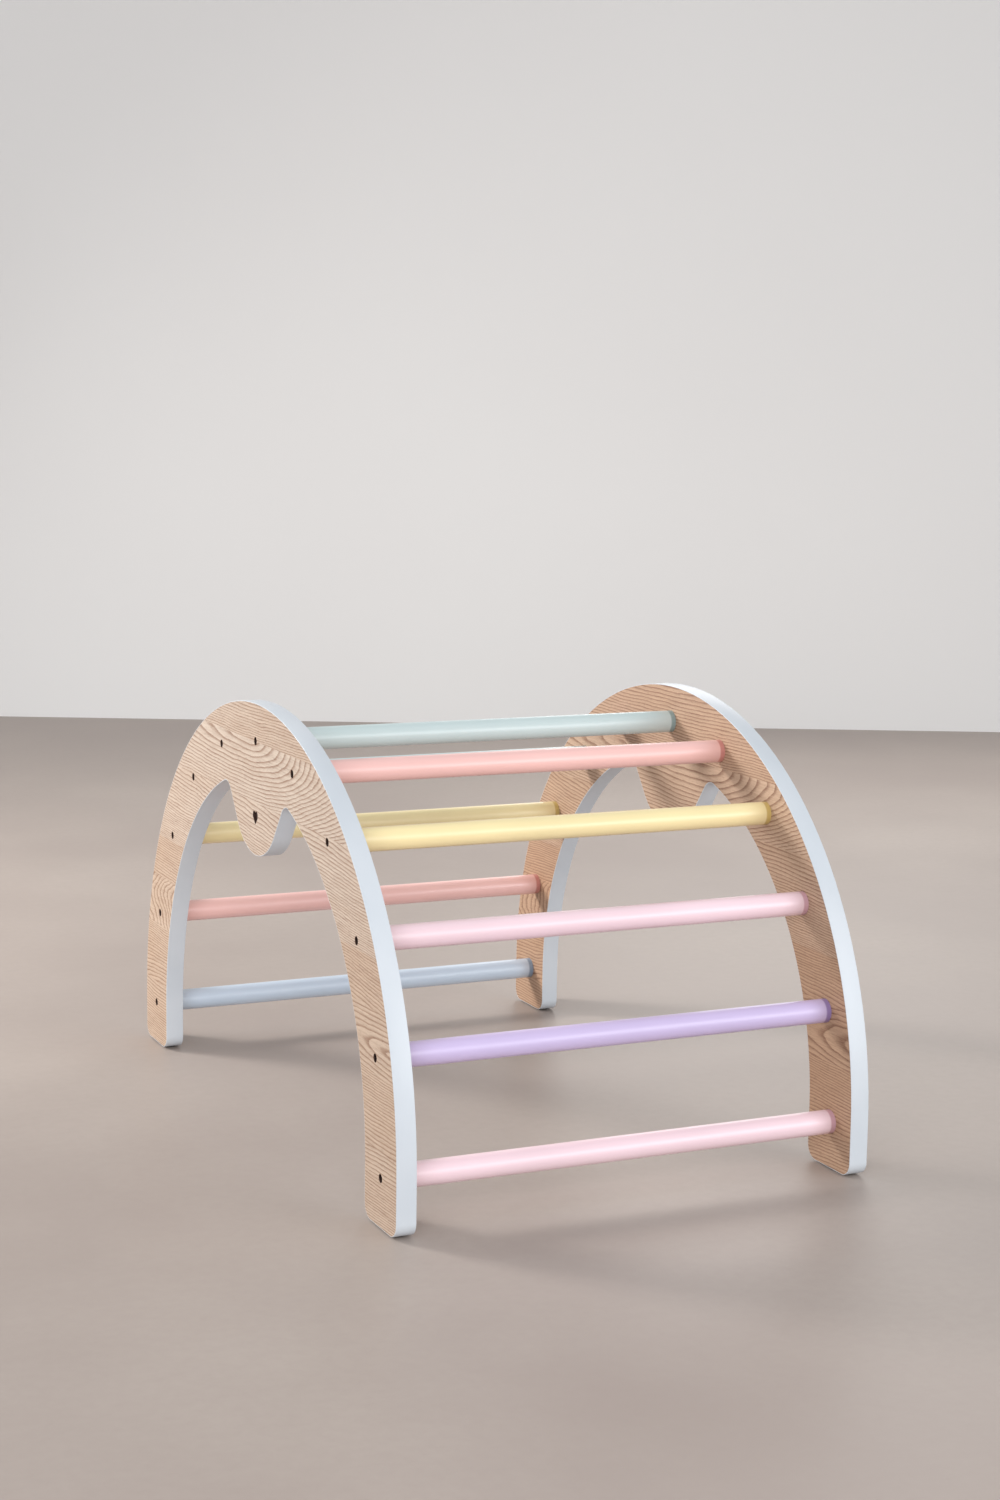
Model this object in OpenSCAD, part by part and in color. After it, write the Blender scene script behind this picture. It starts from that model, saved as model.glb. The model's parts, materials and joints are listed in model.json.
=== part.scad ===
// Indoor climbing arch ("monkey bars" for a small child): two flat arched side panels joined by
// eleven round rungs. Each rung sits in shallow sockets and is drawn up by a screw at each end.
// Frame: +X runs along the rungs, +Y along the arch's span, +Z up. The origin is on the floor,
// midway between the feet. All sizes are in millimetres and all angles in degrees.

/* [Arch] */
// Width across the outer faces of the two panels
arch_w = 630; // [450:10:900]
// Radius of the circle on which the rungs lie
rung_arc_r = 440; // [330:5:600]
// Height of that circle's centre above the underside of the panels
centre_h = 67; // [50:1:150]
// Width of the panel's arched band
band_w = 98; // [80:1:125]
// Thickness of a panel
panel_t = 25; // [21:0.5:34]
// Thickness of the edge band glued round a panel
edge_t = 0.8; // [0.4:0.1:3]
// Radius of the two corners of a foot
foot_r = 18; // [6:1:30]

/* [Tongue and heart] */
// Radius of the tongue's round lower end
tongue_r = 91; // [70:1:112]
// How far the tongue hangs below the crown of the opening
tongue_drop = 100; // [80:1:125]
// Radius of the notch between the tongue and the band
notch_r = 22; // [14:1:28]
// Lean of the tongue's straight flanks from the vertical
flank_lean = 37.7; // [25:0.1:50]
// Side of the square that the heart's two lobes grow from
heart_side = 11.5; // [8:0.5:16]
// Height of the heart's tip above the tongue's lowest point
heart_rise = 40; // [20:1:50]
// Depth of the heart below the panel's outer face
heart_depth = 4; // [1:0.5:8]

/* [Rungs] */
// Diameter of a rung
rung_d = 30; // [24:0.5:38]
// Angle between neighbouring rungs, seen from the circle's centre
rung_step = 18.2; // [15:0.1:18.4]
// Chamfer round each end of a rung
rung_chamfer = 1; // [0.5:0.1:3]
// Depth of the socket that a rung's end sits in
socket_depth = 8; // [5:0.5:10]
// Gap all round a rung in its socket
socket_gap = 0.2; // [0.1:0.05:0.5]

/* [Screws and inserts] */
// Diameter of a screw's shank
screw_d = 6; // [5:0.5:7.5]
// Length of a screw below its head
screw_len = 35; // [30:1:45]
// Diameter of a screw's head
head_d = 10; // [9:0.5:13]
// Height of a screw's head
head_h = 5; // [4:0.5:6]
// Width across the flats of the hexagon socket in the head
key_w = 5; // [3:0.5:6]
// Depth of the hexagon socket
key_depth = 3; // [2:0.5:3.5]
// How far the head lies below the panel's outer face
head_sink = 2; // [0.5:0.1:3]
// Gap all round the head in its recess
recess_gap = 0.4; // [0.2:0.1:1]
// Gap all round the shank in the panel and in the insert
shank_gap = 0.15; // [0.1:0.05:0.5]
// Space beyond the screw's tip in the rung
tip_space = 5; // [2:1:10]
// Length of the threaded insert in a rung's end
insert_len = 18; // [12:1:24]
// Diameter of the insert's barrel, over its ridges
insert_d = 10; // [9.5:0.5:13]
// Diameter of the insert's flange
flange_d = 14; // [14:0.5:18]
// Thickness of the insert's flange
flange_t = 1.5; // [1:0.5:3]
// Gap all round the insert in the rung
insert_gap = 0.1; // [0.05:0.05:0.3]

/* [Foot pads] */
// Thickness of a foot pad
pad_t = 2; // [1.5:0.5:5]
// How far a pad stays back from the panel's faces
pad_inset = 3; // [1:0.5:6]

/* [Hidden] */
$fn = 96;
SIDE_RUNGS = 5; // rungs on each side of the crown rung
RIDGE_H = 0.8; // height of the insert's ridges
RIDGES = 4; // ridges on an insert's barrel
OVER = 1; // how far a cutting shape runs past the surface it cuts
LAP = 0.05; // how far arcs and lines that would only touch run into each other, so that they cross

outer_r = rung_arc_r + band_w / 2;
inner_r = rung_arc_r - band_w / 2;
centre_z = pad_t + centre_h;
inner_face = arch_w / 2 - panel_t;
rung_end = inner_face + socket_depth;
rung_r = rung_d / 2;
socket_r = rung_r + socket_gap;
recess_depth = head_sink + head_h;
recess_r = head_d / 2 + recess_gap;
seat_x = arch_w / 2 - recess_depth; // where the underside of a head sits
screw_tip = seat_x - screw_len;
screw_bore_r = screw_d / 2 + shank_gap;
insert_r = insert_d / 2;
insert_bore_r = insert_r + insert_gap;
rung_bore_end = min(screw_tip, rung_end - insert_len) - tip_space;

// The tongue's circle, from the circle's centre, and the notch's circle, which touches the
// straight flank on its inner side and the opening's arc on its outer side
tongue_up = inner_r - tongue_drop + tongue_r;
flank_out = [cos(flank_lean), -sin(flank_lean)]; // square to the flank, away from the tongue
flank_up = [sin(flank_lean), cos(flank_lean)]; // along the flank
notch_off = tongue_r + notch_r - tongue_up * sin(flank_lean);
notch_reach = inner_r - notch_r + LAP;
notch_c = notch_off * flank_out + sqrt(notch_reach ^ 2 - notch_off ^ 2) * flank_up;
beyond_c = notch_c / norm(notch_c) * (inner_r + band_w / 2 + OVER);

FRONT_NAMES = [for (i = [1:SIDE_RUNGS]) str("rung_front_", i)];
BACK_NAMES = [for (i = [1:SIDE_RUNGS]) str("rung_back_", i)];
RUNG_NAMES = concat(["rung_crown"], FRONT_NAMES, BACK_NAMES);
// Each rung's place on the circle, counted in steps from the crown: front is -Y
RUNG_PLACES = concat([0], [for (i = [1:SIDE_RUNGS]) -i], [for (i = [1:SIDE_RUNGS]) i]);
MINT = [0.78, 0.87, 0.86];
SALMON = [0.96, 0.77, 0.73];
YELLOW = [0.97, 0.92, 0.72];
PINK = [0.97, 0.87, 0.90];
PURPLE = [0.84, 0.76, 0.92];
GREY_BLUE = [0.76, 0.83, 0.90];
OAK = [0.84, 0.73, 0.63];
EDGE_WHITE = [0.87, 0.90, 0.94];
SCREW_BROWN = [0.20, 0.14, 0.11];
ZINC = [0.72, 0.72, 0.70];
PAD_GREY = [0.16, 0.15, 0.15];
RUNG_COLOURS = [
  MINT,
  SALMON, YELLOW, PINK, PURPLE, PINK,
  PURPLE, MINT, YELLOW, SALMON, GREY_BLUE
];
FOOT_NAMES = ["foot_pad_left_front", "foot_pad_left_back", "foot_pad_right_front", "foot_pad_right_back"];
FOOT_PLACES = [[-1, -1], [-1, 1], [1, -1], [1, 1]];

// Stands a shape drawn in (y, z), and extruded along x, upright with the circle's centre in place
module upright() {
  translate([0, 0, centre_z]) rotate([90, 0, 90]) children();
}

// Puts its children at each rung's place on the circle
module at_rungs() {
  for (place = RUNG_PLACES) at_rung(place) children();
}

// Puts its children on the circle at a number of steps from the crown, their +Z along the rung
module at_rung(place) {
  turn = place * rung_step;
  translate([0, rung_arc_r * sin(turn), centre_z + rung_arc_r * cos(turn)]) rotate([0, 90, 0]) children();
}

// One leg below the circle's centre, with round lower corners; inset moves the outline inward
module leg_outline(inset) {
  in_y = inner_r + foot_r;
  out_y = outer_r - foot_r;
  for (y = [in_y, out_y]) translate([y, foot_r - centre_h]) circle(foot_r - inset);
  translate([in_y, inset - centre_h]) square([out_y - in_y, centre_h]);
  translate([inner_r + inset, foot_r - centre_h]) square([band_w - 2 * inset, centre_h - foot_r]);
}

// The arched band above the circle's centre
module band_outline(inset) {
  difference() {
    circle(outer_r - inset, $fn = 360);
    circle(inner_r + inset, $fn = 360);
    translate([-2 * outer_r, -4 * outer_r]) square(4 * outer_r);
  }
}

// The tongue that hangs from the crown, with the two notches beside it
module tongue_outline(inset) {
  tongue_c = [0, tongue_up];
  low = tongue_c + (tongue_r - inset - LAP) * flank_out;
  high = notch_c - (notch_r + inset - LAP) * flank_out;
  intersection() {
    circle(rung_arc_r, $fn = 360);
    union() {
      translate(tongue_c) circle(tongue_r - inset, $fn = 180);
      for (side = [0, 1]) mirror([side, 0]) difference() {
        polygon([tongue_c, low, high, notch_c, beyond_c, [0, outer_r]]);
        translate(notch_c) circle(notch_r + inset);
      }
    }
  }
}

// The whole outline of a panel, in (y, z) from the circle's centre
module panel_outline(inset) {
  band_outline(inset);
  tongue_outline(inset);
  for (side = [0, 1]) mirror([side, 0]) leg_outline(inset);
}

// A heart with its tip at the origin: a square on its corner and a round lobe on each upper side
module heart_outline() {
  lobe_y = heart_side / (2 * sqrt(2));
  rotate(45) square(heart_side);
  for (side = [-1, 1]) translate([side * lobe_y, 3 * lobe_y]) circle(heart_side / 2 + LAP);
}

// A panel on the side where x is above 0, with the heart cut into its outer face and every hole
// that the rungs and screws need
module side_panel() {
  heart_z = inner_r - tongue_drop + heart_rise;
  difference() {
    translate([inner_face, 0, 0]) upright() linear_extrude(panel_t) panel_outline(edge_t);
    translate([arch_w / 2 - heart_depth, 0, 0]) upright() linear_extrude(heart_depth + OVER)
      translate([0, heart_z]) heart_outline();
    at_rungs() {
      translate([0, 0, inner_face - OVER]) cylinder(r = socket_r, h = socket_depth + OVER);
      translate([0, 0, inner_face]) cylinder(r = screw_bore_r, h = panel_t);
      translate([0, 0, seat_x]) cylinder(r = recess_r, h = recess_depth + OVER);
    }
  }
}

// The strip glued round a panel's edge
module edge_band() {
  translate([inner_face, 0, 0]) upright() linear_extrude(panel_t) difference() {
    panel_outline(0);
    panel_outline(edge_t);
  }
}

// A rung's outside, with a chamfer round each end
module rung_body() {
  end_r = rung_r - rung_chamfer;
  for (side = [0, 1]) mirror([0, 0, side]) {
    cylinder(r = rung_r, h = rung_end - rung_chamfer);
    translate([0, 0, rung_end - rung_chamfer]) cylinder(r1 = rung_r, r2 = end_r, h = rung_chamfer);
  }
}

// A rung at the origin with its bores for the inserts and the screws
module rung() {
  difference() {
    rung_body();
    for (side = [0, 1]) mirror([0, 0, side]) {
      translate([0, 0, rung_end - flange_t]) cylinder(r = flange_d / 2 + insert_gap, h = flange_t + OVER);
      translate([0, 0, rung_end - insert_len]) cylinder(r = insert_bore_r, h = insert_len);
      translate([0, 0, rung_bore_end]) cylinder(r = screw_bore_r, h = rung_end - rung_bore_end);
    }
  }
}

// A socket-head screw, its head's underside at seat_x and its tip towards the origin
module screw() {
  difference() {
    union() {
      translate([0, 0, seat_x]) cylinder(r = head_d / 2, h = head_h);
      translate([0, 0, screw_tip]) cylinder(r = screw_d / 2, h = screw_len + OVER);
    }
    translate([0, 0, seat_x + head_h - key_depth]) cylinder(d = key_w / cos(30), h = key_depth + OVER, $fn = 6);
  }
}

// A flanged insert in a rung's end, flush with the end and ridged to grip the wood
module insert() {
  pitch = (insert_len - flange_t) / RIDGES;
  difference() {
    union() {
      translate([0, 0, rung_end - insert_len]) cylinder(r = insert_r - RIDGE_H, h = insert_len);
      translate([0, 0, rung_end - flange_t]) cylinder(r = flange_d / 2, h = flange_t);
      for (i = [0:RIDGES - 1]) translate([0, 0, rung_end - insert_len + i * pitch])
        cylinder(r1 = insert_r - RIDGE_H, r2 = insert_r, h = pitch / 2);
    }
    translate([0, 0, rung_end - insert_len - OVER]) cylinder(r = screw_bore_r, h = insert_len + 2 * OVER);
  }
}

// A foot pad under the foot where x and y are above 0: a strip with round ends
module foot_pad() {
  pad_r = panel_t / 2 - pad_inset;
  reach = band_w / 2 - foot_r - pad_r;
  translate([inner_face + panel_t / 2, rung_arc_r, 0]) linear_extrude(pad_t) {
    square([2 * pad_r, 2 * reach], center = true);
    for (side = [-1, 1]) translate([0, side * reach]) circle(pad_r);
  }
}

module side_panel_left() { color(OAK) mirror([1, 0, 0]) side_panel(); }
module side_panel_right() { color(OAK) side_panel(); }
module edge_band_left() { color(EDGE_WHITE) mirror([1, 0, 0]) edge_band(); }
module edge_band_right() { color(EDGE_WHITE) edge_band(); }
module screws_left() { color(SCREW_BROWN) mirror([1, 0, 0]) at_rungs() screw(); }
module screws_right() { color(SCREW_BROWN) at_rungs() screw(); }
module inserts_left() { color(ZINC) mirror([1, 0, 0]) at_rungs() insert(); }
module inserts_right() { color(ZINC) at_rungs() insert(); }

side_panel_left();
side_panel_right();
edge_band_left();
edge_band_right();
for (i = [0:len(RUNG_NAMES) - 1]) {
  color(RUNG_COLOURS[i]) at_rung(RUNG_PLACES[i]) rung();
}
screws_left();
screws_right();
inserts_left();
inserts_right();
for (i = [0:len(FOOT_NAMES) - 1]) {
  color(PAD_GREY) scale([FOOT_PLACES[i][0], FOOT_PLACES[i][1], 1]) foot_pad();
}
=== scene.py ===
"""Looks for the indoor climbing arch: oak boards, pale edge bands and painted rungs.

Everything is in metres, in the part's own frame: +X along the rungs, +Y along the span, +Z up.
"""
import json
import math

import bmesh
import bpy
from mathutils import Matrix, Vector

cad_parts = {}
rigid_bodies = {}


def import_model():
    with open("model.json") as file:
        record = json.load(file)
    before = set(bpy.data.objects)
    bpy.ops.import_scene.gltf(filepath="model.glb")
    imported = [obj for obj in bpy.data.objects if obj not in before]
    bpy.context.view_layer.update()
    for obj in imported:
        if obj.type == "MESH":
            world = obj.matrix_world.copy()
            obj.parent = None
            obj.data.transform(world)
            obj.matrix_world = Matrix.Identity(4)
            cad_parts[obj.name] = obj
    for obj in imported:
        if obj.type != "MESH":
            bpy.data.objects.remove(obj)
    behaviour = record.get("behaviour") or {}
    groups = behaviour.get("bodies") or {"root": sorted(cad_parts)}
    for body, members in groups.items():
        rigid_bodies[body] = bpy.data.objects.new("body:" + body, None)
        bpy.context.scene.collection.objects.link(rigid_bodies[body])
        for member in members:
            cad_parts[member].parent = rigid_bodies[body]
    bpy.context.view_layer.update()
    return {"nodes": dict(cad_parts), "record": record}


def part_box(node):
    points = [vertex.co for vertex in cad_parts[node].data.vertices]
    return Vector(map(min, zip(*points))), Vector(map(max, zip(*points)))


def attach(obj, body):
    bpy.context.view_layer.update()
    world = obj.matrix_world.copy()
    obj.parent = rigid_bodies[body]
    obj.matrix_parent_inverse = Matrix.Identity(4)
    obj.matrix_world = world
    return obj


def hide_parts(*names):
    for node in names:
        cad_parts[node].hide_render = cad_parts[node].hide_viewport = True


for default in list(bpy.data.objects):
    bpy.data.objects.remove(default, do_unlink=True)

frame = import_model()

MM = 0.001


# ---------------------------------------------------------------- camera
CAMERA_PLACE = Vector((-1.3527, -3.0015, 0.9726))
CAMERA_YAW = math.radians(24.746)
CAMERA_PITCH = math.radians(-8.459)
CAMERA_ROLL = math.radians(0.907)
LENS = 59.75


def make_camera():
    """The camera at the photograph's angle. Returns the direction it looks in, level with the floor."""
    ahead = Vector((math.sin(CAMERA_YAW), math.cos(CAMERA_YAW), 0))
    forward = ahead * math.cos(CAMERA_PITCH) + Vector((0, 0, math.sin(CAMERA_PITCH)))
    level_right = Vector((math.cos(CAMERA_YAW), -math.sin(CAMERA_YAW), 0))
    level_up = level_right.cross(forward)
    right = level_right * math.cos(CAMERA_ROLL) + level_up * math.sin(CAMERA_ROLL)
    up = level_up * math.cos(CAMERA_ROLL) - level_right * math.sin(CAMERA_ROLL)
    data = bpy.data.cameras.new("camera")
    data.lens = LENS
    data.sensor_width = 36
    data.sensor_fit = "AUTO"
    camera = bpy.data.objects.new("camera", data)
    bpy.context.collection.objects.link(camera)
    turn = Matrix((right, up, -forward)).transposed().to_4x4()
    camera.matrix_world = Matrix.Translation(CAMERA_PLACE) @ turn
    bpy.context.scene.camera = camera
    return ahead


# ---------------------------------------------------------------- shader helpers
class Shader:
    """A material and short ways to add nodes to it."""

    def __init__(self, name):
        self.material = bpy.data.materials.new(name)
        self.material.use_nodes = True
        self.tree = self.material.node_tree
        self.surface = self.tree.nodes["Principled BSDF"]
        self.place = self.node("TexCoord").outputs["Object"]

    def node(self, kind, **settings):
        made = self.tree.nodes.new("ShaderNode" + kind)
        for name, value in settings.items():
            setattr(made, name, value)
        return made

    def feed(self, socket, value):
        if isinstance(value, bpy.types.NodeSocket):
            self.tree.links.new(value, socket)
        else:
            socket.default_value = value

    def math(self, operation, *values, clamp=False):
        made = self.node("Math", operation=operation, use_clamp=clamp)
        for socket, value in zip(made.inputs, values):
            self.feed(socket, value)
        return made.outputs[0]

    def vector_math(self, operation, *values):
        made = self.node("VectorMath", operation=operation)
        for socket, value in zip(made.inputs, values):
            self.feed(socket, value)
        return made.outputs[0]

    def separate(self, vector):
        made = self.node("SeparateXYZ")
        self.feed(made.inputs[0], vector)
        return made.outputs[0], made.outputs[1], made.outputs[2]

    def combine(self, x, y, z):
        made = self.node("CombineXYZ")
        for socket, value in zip(made.inputs, (x, y, z)):
            self.feed(socket, value)
        return made.outputs[0]

    def noise(self, vector, scale=1.0, detail=2.0, roughness=0.5):
        made = self.node("TexNoise")
        self.feed(made.inputs["Vector"], vector)
        made.inputs["Scale"].default_value = scale
        made.inputs["Detail"].default_value = detail
        made.inputs["Roughness"].default_value = roughness
        return made.outputs["Fac"]

    def ramp(self, value, stops, interpolation="LINEAR"):
        """A colour ramp. stops is a list of (position, (red, green, blue))."""
        made = self.node("ValToRGB")
        made.color_ramp.interpolation = interpolation
        while len(made.color_ramp.elements) > 1:
            made.color_ramp.elements.remove(made.color_ramp.elements[-1])
        for i, (position, colour) in enumerate(stops):
            stop = made.color_ramp.elements[0] if i == 0 else made.color_ramp.elements.new(position)
            stop.position = position
            stop.color = (*colour, 1)
        self.feed(made.inputs[0], value)
        return made.outputs["Color"]

    def spread(self, value, low, high, out_low=0.0, out_high=1.0):
        """value from low..high to out_low..out_high, held at the ends."""
        made = self.node("MapRange", clamp=True)
        for socket, number in zip(made.inputs, (value, low, high, out_low, out_high)):
            self.feed(socket, number)
        return made.outputs[0]

    def mix(self, factor, first, second):
        made = self.node("Mix", data_type="RGBA")
        self.feed(made.inputs["Factor"], factor)
        self.feed(made.inputs[6], first)
        self.feed(made.inputs[7], second)
        return made.outputs[2]

    def bump(self, height, distance, strength=1.0):
        made = self.node("Bump")
        self.feed(made.inputs["Height"], height)
        made.inputs["Distance"].default_value = distance
        made.inputs["Strength"].default_value = strength
        self.feed(self.surface.inputs["Normal"], made.outputs[0])

    def finish(self, **sockets):
        for name, value in sockets.items():
            self.feed(self.surface.inputs[name.replace("_", " ")], value)
        return self.material


def linear(red, green, blue):
    """A colour given as 0..255 display values, as the linear values that a shader takes."""
    channels = []
    for value in (red, green, blue):
        share = value / 255
        channels.append(((share + 0.055) / 1.055) ** 2.4 if value > 10 else share / 12.92)
    return tuple(channels)


def rgba(colour):
    return (*colour, 1)


def shade(colour, share):
    """The colour made darker, or lighter where share is above 1."""
    return tuple(channel * share for channel in colour)


# ---------------------------------------------------------------- oak
# The boards are glued up from staves that run along Y. Each row is one stave: its lowest z, then where
# the middle of its growth rings lies (y, z and depth below the face), how light it is, how fast its
# rings widen along Y, and how many rings there are to a metre at their middle.
STAVES = (
    # low z, ring y, ring z, depth, tone, widen, rings
    (0.000, 0.20, 0.190, 0.030, 0.30, 0.10, 80),
    (0.092, -0.62, 0.050, 0.012, 0.15, 0.18, 105),
    (0.180, -0.47, 0.214, 0.006, 0.25, 0.40, 130),
    (0.254, 0.35, 0.180, 0.030, 0.20, 0.09, 102),
    (0.313, -0.80, 0.480, 0.020, 0.80, 0.20, 100),
    (0.427, 0.020, 0.512, 0.004, 1.00, 0.28, 104),
    (0.507, 0.25, 0.640, 0.020, 0.55, 0.06, 98),
)
STAVE_SPAN = 0.70      # the ramps that hold the staves cover z from 0 to this
DEPTH_PACK = 10        # a ramp holds values from 0 to 1, so depths are stored this many times larger
RINGS_PACK = 200       # and ring counts this many times smaller
BACK_STRETCH = 0.4     # rings reach further towards the back than towards the front
RING_CROWDING = 8.0    # how fast rings draw together away from their middle
FACE_OUT, FACE_IN = 0.315, 0.290
SKIN = 0.4 * MM        # how deep a face's colour goes into a cut

# What bends the rings: waves to a metre along y and z, the shift in metres, and a turn for the noise.
# In order: a slow wander, a gentle wave, and the fine teeth that pores give each line.
WANDER = (
    (3.0, 8.0, 0.020, 0.0),
    (19.0, 42.0, 0.0040, 5.0),
    (330.0, 900.0, 0.0009, 9.0),
)
# How dark a ring is from its start to the next ring: it rises at once and fades slowly.
RING_TONES = ((0.0, 0.0), (0.07, 1.0), (0.22, 0.75), (0.45, 0.15), (0.90, 0.0), (1.0, 0.0))


def oak(name, side, light, warm, dark, cut, along=0.0, lift=0.0, seed=0.0):
    """Oak staves with growth rings cut by the board's faces, open pores and a matt lacquer.

    side is -1 for the left board and 1 for the right. along and lift shift the staves in y and z.
    """
    s = Shader(name)
    x, y, z = s.separate(s.place)
    y = s.math("ADD", y, along)
    z = s.math("ADD", z, lift)
    level = s.math("DIVIDE", z, STAVE_SPAN)
    middles = s.ramp(level, [(row[0] / STAVE_SPAN, (row[1] / 2 + 0.5, row[2], row[3] * DEPTH_PACK))
                             for row in STAVES], "CONSTANT")
    traits = s.ramp(level, [(row[0] / STAVE_SPAN, (row[4], row[5], row[6] / RINGS_PACK))
                            for row in STAVES], "CONSTANT")
    ring_y, ring_z, depth = s.separate(middles)
    tone, widen, rings = s.separate(traits)

    # distance from the middle of the stave's rings, which lie along Y
    ring_y = s.math("MULTIPLY_ADD", ring_y, 2.0, -1.0)
    off_y = s.math("SUBTRACT", y, ring_y)
    behind = s.math("MULTIPLY", off_y, BACK_STRETCH)
    away_y = s.math("MAXIMUM", behind, s.math("MULTIPLY", off_y, -1.0))
    away_y = s.math("MULTIPLY", away_y, widen)
    away_z = s.math("SUBTRACT", z, ring_z)
    into_board = s.math("MULTIPLY", s.math("SUBTRACT", FACE_OUT, s.math("MULTIPLY", x, side)), 0.5)
    away_x = s.math("ADD", s.math("DIVIDE", depth, DEPTH_PACK), into_board)
    squares = [s.math("MULTIPLY", away, away) for away in (away_x, away_y, away_z)]
    radius = s.math("SQRT", s.math("ADD", s.math("ADD", squares[0], squares[1]), squares[2]))

    for along_y, along_z, size, turn in WANDER:
        at = s.combine(seed + turn, s.math("MULTIPLY", y, along_y), s.math("MULTIPLY", z, along_z))
        shift = s.math("MULTIPLY", s.math("SUBTRACT", s.noise(at, 1.0, 2.0, 0.5), 0.5), size)
        radius = s.math("ADD", radius, shift)
    crowding = s.math("MULTIPLY_ADD", radius, RING_CROWDING, 1.0)
    phase = s.math("MULTIPLY", s.math("MULTIPLY", radius, crowding), s.math("MULTIPLY", rings, RINGS_PACK))
    ring = s.math("FRACT", phase)
    line = s.ramp(ring, [(position, (tone_here,) * 3) for position, tone_here in RING_TONES])

    pores_at = s.combine(s.math("MULTIPLY", x, 500.0), s.math("MULTIPLY", y, 110.0),
                         s.math("MULTIPLY", z, 1300.0))
    pores = s.spread(s.noise(pores_at, 1.0, 2.0, 0.6), 0.54, 0.66)
    pores = s.math("MULTIPLY", pores, s.math("MULTIPLY_ADD", line, 0.6, 0.4))
    fibre_at = s.combine(s.math("MULTIPLY", x, 300.0), s.math("MULTIPLY", y, 16.0),
                         s.math("MULTIPLY", z, 480.0))
    fibre = s.noise(fibre_at, 1.0, 3.0, 0.6)
    blush_at = s.combine(seed, s.math("MULTIPLY", y, 3.0), s.math("MULTIPLY", z, 9.0))
    blush = s.noise(blush_at, 1.0, 2.0)
    tone = s.math("ADD", tone, s.math("MULTIPLY_ADD", blush, 1.0, -0.5), clamp=True)

    base = s.mix(tone, rgba(warm), rgba(light))
    amount = s.math("MULTIPLY", line, s.spread(fibre, 0.3, 0.7, 0.65, 1.0))
    colour = s.mix(amount, base, rgba(dark))
    colour = s.mix(s.spread(fibre, 0.40, 0.75, 0.0, 0.34), colour, rgba(dark))
    colour = s.mix(s.math("MULTIPLY", pores, 0.60), colour, rgba(shade(dark, 0.60)))

    # the walls and floors of the heart and the screw recesses are darker than the faces
    depth_x = s.math("ABSOLUTE", x)
    below_outer = s.math("LESS_THAN", depth_x, FACE_OUT - SKIN)
    above_inner = s.math("GREATER_THAN", depth_x, FACE_IN + SKIN)
    inside = s.math("MULTIPLY", below_outer, above_inner)
    colour = s.mix(inside, colour, rgba(cut))

    height = s.math("ADD", s.math("MULTIPLY", line, -0.4), s.math("MULTIPLY", pores, -0.9))
    s.bump(s.math("MULTIPLY_ADD", fibre, 0.3, height), 0.15 * MM, 0.8)
    roughness = s.spread(s.math("ADD", line, pores), 0.0, 1.6, 0.48, 0.68)
    return s.finish(Base_Color=colour, Roughness=roughness, Coat_Weight=0.08, Coat_Roughness=0.45)


# ---------------------------------------------------------------- other materials
PAINTED_END_SHADE = 7.5 * MM    # how much of a rung's end gets painted shade and a painted reflection of the brown board
PAINTED_END_SHADE_FADE = 2 * MM
EDGE_TINTS = (202, 209, 216), (210, 216, 222)


def edge_paint():
    """The satin strip round each board, with faint cross lines where it was planed."""
    s = Shader("edge_band")
    fine = s.noise(s.vector_math("MULTIPLY", s.place, (260.0, 900.0, 900.0)), 1.0, 2.0)
    broad = s.noise(s.place, 9.0, 2.0)
    colour = s.mix(s.spread(broad, 0.3, 0.7), *[rgba(linear(*tint)) for tint in EDGE_TINTS])
    s.bump(fine, 0.00006, 0.5)
    roughness = s.spread(broad, 0.3, 0.7, 0.36, 0.46)
    return s.finish(Base_Color=colour, Roughness=roughness, Coat_Weight=0.15, Coat_Roughness=0.3)


def rung_paint(name, colour):
    """Satin paint on a turned dowel. The wood's grain shows faintly along the rung."""
    s = Shader(name)
    x, y, z = s.separate(s.place)
    grain_at = s.combine(s.math("MULTIPLY", x, 9.0), s.math("MULTIPLY", y, 700.0),
                         s.math("MULTIPLY", z, 700.0))
    grain = s.noise(grain_at, 1.0, 3.0, 0.55)
    skin = s.noise(s.place, 420.0, 2.0)
    cloud = s.noise(s.combine(s.math("MULTIPLY", x, 6.0), s.math("MULTIPLY", y, 20.0), z), 1.0, 2.0)
    painted = s.mix(s.spread(cloud, 0.3, 0.7), rgba(shade(colour, 0.93)), rgba(colour))
    painted = s.mix(s.spread(grain, 0.56, 0.75, 0.0, 0.10), painted, rgba(shade(colour, 0.8)))
    # painted shade and a painted reflection of the brown board: a darker, deeper tone just where the rung
    # meets the board
    end_shade = s.spread(s.math("ABSOLUTE", x), FACE_IN - PAINTED_END_SHADE, FACE_IN - PAINTED_END_SHADE + PAINTED_END_SHADE_FADE)
    painted = s.mix(end_shade, painted, rgba(tuple(c ** 1.8 * 0.72 for c in colour)))
    s.bump(s.math("MULTIPLY_ADD", skin, 0.35, grain), 0.00007, 0.7)
    roughness = s.spread(s.math("MULTIPLY_ADD", cloud, 0.5, grain), 0.5, 1.0, 0.30, 0.40)
    return s.finish(Base_Color=painted, Roughness=roughness, Coat_Weight=0.35, Coat_Roughness=0.32)


def metal(name, colour, low, high, scale):
    """Plated steel with a fine grain and small changes of gloss."""
    s = Shader(name)
    grain = s.noise(s.place, scale, 3.0, 0.6)
    broad = s.noise(s.place, scale * 0.15, 2.0)
    tint = s.mix(s.spread(broad, 0.3, 0.7), rgba(shade(colour, 0.75)), rgba(colour))
    s.bump(grain, 0.00004, 0.6)
    return s.finish(Base_Color=tint, Metallic=0.85, Roughness=s.spread(grain, 0.3, 0.7, low, high))


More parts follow.
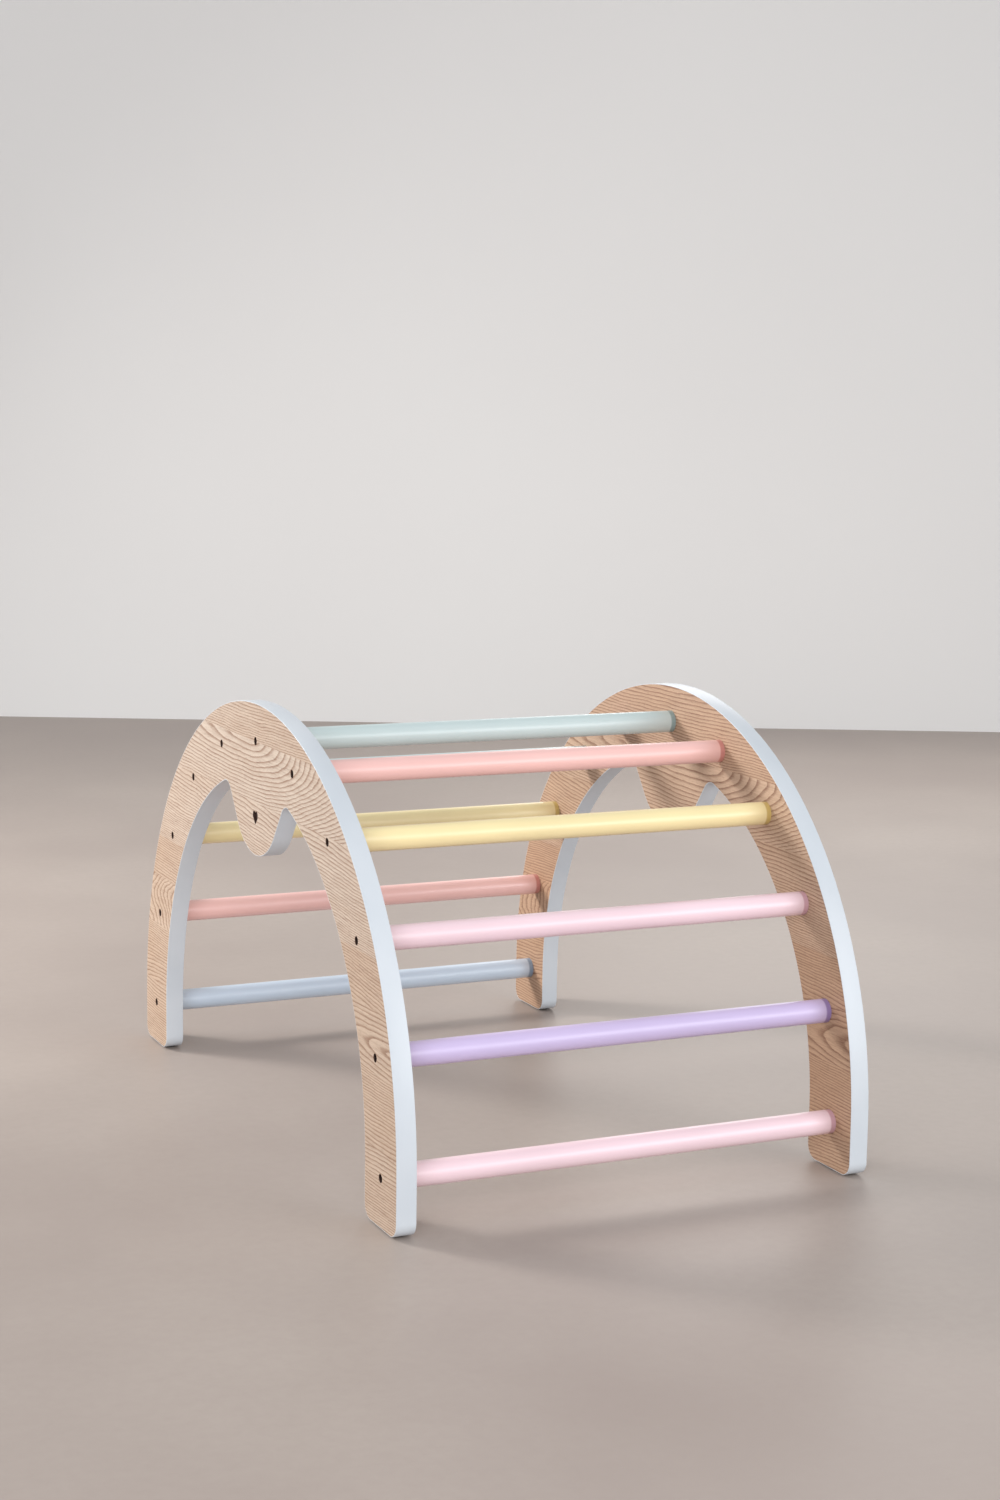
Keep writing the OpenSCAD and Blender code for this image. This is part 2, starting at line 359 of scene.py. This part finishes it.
def rubber(name, colour):
    """Matt rubber with a fine skin."""
    s = Shader(name)
    grain = s.noise(s.place, 1400.0, 2.0)
    broad = s.noise(s.place, 60.0, 2.0)
    tint = s.mix(broad, rgba(shade(colour, 0.7)), rgba(shade(colour, 1.2)))
    s.bump(grain, 0.00012, 0.8)
    return s.finish(Base_Color=tint, Roughness=s.spread(grain, 0.3, 0.7, 0.75, 0.92))


# each board's pale wood, its warmer staves and its ring lines
OAK_LEFT = ((208, 192, 176), (197, 172, 149), (134, 97, 72))
# the right board's wood is darker and warmer than the left's: painted shade, standing for the shade on its
# inner face
OAK_RIGHT_PAINTED_SHADE = ((201, 172, 147), (189, 153, 123), (126, 86, 62))
OAK_CUT = (66, 44, 36)
SCREW_TINT = (34, 23, 19)
INSERT_TINT = (190, 190, 186)
PAD_TINT = (52, 50, 50)
PAINTS = {
    "paint_mint": (201, 218, 218),
    "paint_salmon": (247, 199, 193),
    "paint_yellow": (248, 230, 176),
    "paint_pink": (245, 216, 224),
    "paint_purple": (206, 190, 228),
    "paint_grey_blue": (201, 216, 232),
}


def material_for(slot, node):
    """The material for a slot. Each board has its own oak, so that their grain differs; the right board's
    oak is also darker and warmer, as painted shade.
    """
    if slot == "oak_board":
        if node == "side_panel_left":
            tints = [linear(*tint) for tint in (*OAK_LEFT, OAK_CUT)]
            return oak("oak_left", -1, *tints, seed=4.0)
        tints = [linear(*tint) for tint in (*OAK_RIGHT_PAINTED_SHADE, OAK_CUT)]
        return oak("oak_right_painted_shade", 1, *tints, along=0.10, lift=0.045, seed=27.0)
    if slot == "edge_band":
        return edge_paint()
    if slot in PAINTS:
        return rung_paint(slot, linear(*PAINTS[slot]))
    if slot == "screw_steel":
        return metal("screw_steel", linear(*SCREW_TINT), 0.50, 0.65, 2500.0)
    if slot == "insert_zinc":
        return metal("insert_zinc", linear(*INSERT_TINT), 0.3, 0.5, 2500.0)
    return rubber("foot_pad", linear(*PAD_TINT))


def dress_nodes():
    """Gives each CAD node its slot's material. Returns them by slot, or by node for the boards."""
    made = {}
    for part in frame["record"]["subparts"]:
        node, slot = part["node"], part["material_slot"]
        key = node if slot == "oak_board" else slot
        if key not in made:
            made[key] = material_for(slot, node)
        for socket in frame["nodes"][node].material_slots:
            socket.material = made[key]
    return made


# ---------------------------------------------------------------- edge bands
BAND_ROUND = 0.5 * MM  # radius of an eased arris, less than the strip's thickness
ROUND_STEPS = 4
SAME_PLACE = 1e-6      # points closer than this are one point


def outline_loops(mesh, x_plane):
    """The closed outlines that a strip's mesh has in the plane x = x_plane, the largest first."""
    shape = bmesh.new()
    shape.from_mesh(mesh)
    bmesh.ops.remove_doubles(shape, verts=shape.verts, dist=SAME_PLACE)
    near = {}
    for edge in shape.edges:
        if any(abs(v.co.x - x_plane) > SAME_PLACE for v in edge.verts):
            continue
        if {abs(f.normal.x) > 0.9 for f in edge.link_faces} != {True, False}:
            continue
        a, b = edge.verts
        near.setdefault(a.index, []).append(b.index)
        near.setdefault(b.index, []).append(a.index)
    shape.verts.ensure_lookup_table()
    loops = []
    left = set(near)
    while left:
        start = min(left)
        walk = [start]
        left.discard(start)
        while True:
            ahead = [i for i in near[walk[-1]] if i in left]
            if not ahead:
                break
            walk.append(min(ahead))
            left.discard(walk[-1])
        loops.append([(shape.verts[i].co.y, shape.verts[i].co.z) for i in walk])
    shape.free()

    def area(loop):
        return sum(a[0] * b[1] - b[0] * a[1] for a, b in zip(loop, loop[1:] + loop[:1])) / 2

    loops = [loop if area(loop) > 0 else loop[::-1] for loop in loops]
    return sorted(loops, key=area, reverse=True)


def nearest_to(point, loop):
    """The place in loop of the point nearest to this one."""
    def square(i):
        return (loop[i][0] - point[0]) ** 2 + (loop[i][1] - point[1]) ** 2

    return min(range(len(loop)), key=square)


def make_band(node, material):
    """The strip round a board, swept along the CAD strip's outline, with its outer arrises eased."""
    low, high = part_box(node)
    mesh = frame["nodes"][node].data
    outer, inner = outline_loops(mesh, low.x)
    count = len(outer)
    section = [(1.0, low.x)]
    for k in range(ROUND_STEPS + 1):
        turn = math.pi / 2 * k / ROUND_STEPS
        section.append((1 - math.sin(turn), low.x + (1 - math.cos(turn)) * BAND_ROUND))
    for k in range(ROUND_STEPS + 1):
        turn = math.pi / 2 * (1 - k / ROUND_STEPS)
        section.append((1 - math.sin(turn), high.x - (1 - math.cos(turn)) * BAND_ROUND))
    section.append((1.0, high.x))
    shape = bmesh.new()
    rings = []
    for p in outer:
        q = inner[nearest_to(p, inner)]
        gap = math.dist(p, q)
        ring = []
        for k, (depth, x) in enumerate(section):
            share = 1.0 if k in (0, len(section) - 1) else depth * BAND_ROUND / gap
            y = p[0] + (q[0] - p[0]) * share
            z = p[1] + (q[1] - p[1]) * share
            ring.append(shape.verts.new((x, y, z)))
        rings.append(ring)
    size = len(section)
    for j in range(count):
        here = rings[j]
        following = rings[(j + 1) % count]
        for k in range(size):
            beyond = (k + 1) % size
            face = shape.faces.new((here[k], following[k], following[beyond], here[beyond]))
            face.smooth = True
    bmesh.ops.recalc_face_normals(shape, faces=shape.faces)
    data = bpy.data.meshes.new(node + "_eased")
    shape.to_mesh(data)
    shape.free()
    data.materials.append(material)
    piece = bpy.data.objects.new(node + "_eased", data)
    bpy.context.collection.objects.link(piece)
    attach(piece, "root")
    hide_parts(node)


# ---------------------------------------------------------------- room and light
WALL_AWAY = 7.04
WALL_HIGH = 6.0
ROOM = 14.0
FLOOR_TINTS = (153, 140, 133), (172, 161, 153)
FLOOR_SPECKS = (150, 137, 129)
WALL_TINTS = (238, 237, 236), (243, 243, 242)
WORLD_TINT = (0.92, 0.93, 0.95, 1)
WORLD_STRENGTH = 0.68
AIM = (0.0, 0.0, 0.25)
LIGHTS = (
    # name, place, target, size, power, colour, spread in degrees
    ("window_left", (-2.5, 1.4, 1.3), AIM, (1.0, 0.8), 22, (1.0, 0.99, 0.98), 180),
    ("front_left", (-1.8, -3.0, 1.3), AIM, (2.4, 1.8), 50, (0.97, 0.98, 1.0), 180),
    ("front_right", (1.8, -3.2, 1.2), AIM, (2.0, 1.6), 44, (0.96, 0.98, 1.0), 180),
    ("back_left", (-2.4, 2.4, 1.9), (-0.2, 0.9, 0.0), (0.8, 0.7), 48, (1.0, 0.98, 0.95), 125),
    ("back_right", (2.2, 2.6, 1.6), (1.6, 1.2, 0.0), (1.6, 1.2), 9, (1.0, 0.99, 0.97), 110),
)


def plane(name, corners, material):
    """A flat piece of the room, which isn't part of the object."""
    data = bpy.data.meshes.new(name)
    data.from_pydata([tuple(c) for c in corners], [], [(0, 1, 2, 3)])
    data.materials.append(material)
    obj = bpy.data.objects.new(name, data)
    bpy.context.collection.objects.link(obj)


def floor_material():
    """A worn pale floor with soft clouds and fine specks."""
    s = Shader("floor")
    broad = s.noise(s.place, 1.1, 4.0, 0.55)
    fine = s.noise(s.place, 60.0, 3.0, 0.65)
    colour = s.mix(s.spread(broad, 0.3, 0.7), *[rgba(linear(*tint)) for tint in FLOOR_TINTS])
    colour = s.mix(s.spread(fine, 0.35, 0.8, 0.0, 0.25), colour, rgba(linear(*FLOOR_SPECKS)))
    s.bump(fine, 0.0003, 0.25)
    return s.finish(Base_Color=colour, Roughness=s.spread(broad, 0.3, 0.7, 0.42, 0.55))


def wall_material():
    """A matt off-white wall."""
    s = Shader("wall")
    fine = s.noise(s.place, 90.0, 2.0)
    s.bump(fine, 0.0003, 0.2)
    tint = s.mix(s.noise(s.place, 0.8, 2.0), *[rgba(linear(*tint)) for tint in WALL_TINTS])
    return s.finish(Base_Color=tint, Roughness=0.85)


def area_light(name, place, target, size, power, colour, spread):
    """A soft rectangular light that the camera doesn't see. A smaller spread hides its edge on the wall."""
    data = bpy.data.lights.new(name, "AREA")
    data.shape = "RECTANGLE"
    data.size, data.size_y = size
    data.energy = power
    data.color = colour
    data.spread = math.radians(spread)
    light = bpy.data.objects.new(name, data)
    bpy.context.collection.objects.link(light)
    light.location = place
    light.rotation_mode = "QUATERNION"
    light.rotation_quaternion = (Vector(target) - Vector(place)).to_track_quat("-Z", "Y")
    light.visible_camera = False


def make_room(ahead):
    """A pale floor, a plain wall behind, and soft light from the left, the front and behind."""
    corners = [(-ROOM, -ROOM, 0), (ROOM, -ROOM, 0), (ROOM, ROOM, 0), (-ROOM, ROOM, 0)]
    plane("floor", corners, floor_material())
    side = Vector((ahead.y, -ahead.x, 0)) * ROOM
    foot = Vector((CAMERA_PLACE.x, CAMERA_PLACE.y, 0)) + ahead * WALL_AWAY
    top = foot + Vector((0, 0, WALL_HIGH))
    plane("wall", [foot - side, foot + side, top + side, top - side], wall_material())
    for row in LIGHTS:
        area_light(*row)
    world = bpy.data.worlds.new("world")
    bpy.context.scene.world = world
    world.use_nodes = True
    background = world.node_tree.nodes["Background"]
    background.inputs[0].default_value = WORLD_TINT
    background.inputs[1].default_value = WORLD_STRENGTH


# ---------------------------------------------------------------- make it all
# nodes whose sharp edges are eased, and by how many millimetres
SOFTENED = (
    ("screws_left", 0.25),
    ("screws_right", 0.25),
    ("inserts_left", 0.2),
    ("inserts_right", 0.2),
    ("foot_pad_left_front", 0.5),
    ("foot_pad_left_back", 0.5),
    ("foot_pad_right_front", 0.5),
    ("foot_pad_right_back", 0.5),
    ("side_panel_left", 0.4),
    ("side_panel_right", 0.4),
)

make_room(make_camera())
bpy.context.scene.view_settings.view_transform = "Standard"
materials = dress_nodes()
for side in ("left", "right"):
    make_band("edge_band_" + side, materials["edge_band"])

for name, width in SOFTENED:
    bevel = frame["nodes"][name].modifiers.new("eased", "BEVEL")
    bevel.width = width * MM
    bevel.segments = 2
    bevel.limit_method = "ANGLE"
    bevel.angle_limit = math.radians(40)
